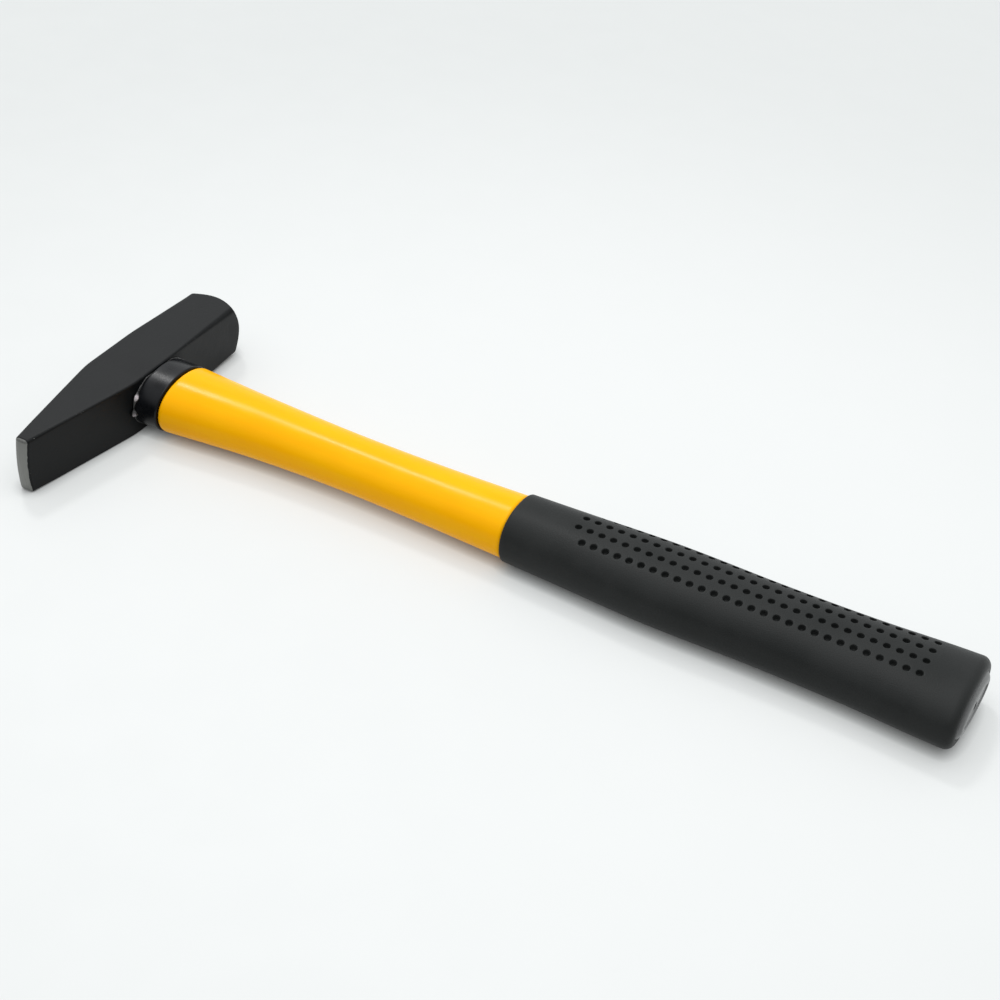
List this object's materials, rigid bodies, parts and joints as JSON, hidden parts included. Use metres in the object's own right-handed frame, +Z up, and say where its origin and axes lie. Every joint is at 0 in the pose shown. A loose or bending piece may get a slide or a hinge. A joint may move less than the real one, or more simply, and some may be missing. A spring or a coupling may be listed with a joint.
{
  "type": "cross-peen hammer",
  "caption": "Cross-peen hammer with a square poll, wedge peen, plastic-jacketed glass-fibre handle and a dimpled soft grip, lying on its cheek.",
  "frame": {"origin": "under the middle of the whole hammer, on the surface it lies on", "axes": "+X along the handle from the head to the butt, +Y the way the striking face looks, +Z up, square to the head's cheek"},
  "size_m": [0.3044, 0.1062, 0.0202],
  "materials": {
    "head": "semi-matte black lacquer on forged steel, peen edge and striking face ground bare",
    "rod": "glass fibre in resin",
    "resin": "cured black resin, glossy",
    "collar": "satin",
    "jacket": "glossy yellow",
    "grip": "soft matte moulded rubber",
    "plug": "dark grey, satin"
  },
  "bodies": {
    "root": {"hammer_head": "head", "core_rod": "rod", "eye_resin": "resin", "neck_collar": "collar", "shaft_jacket": "jacket", "grip_sleeve": "grip", "butt_plug": "plug"}
  },
  "joints": []
}
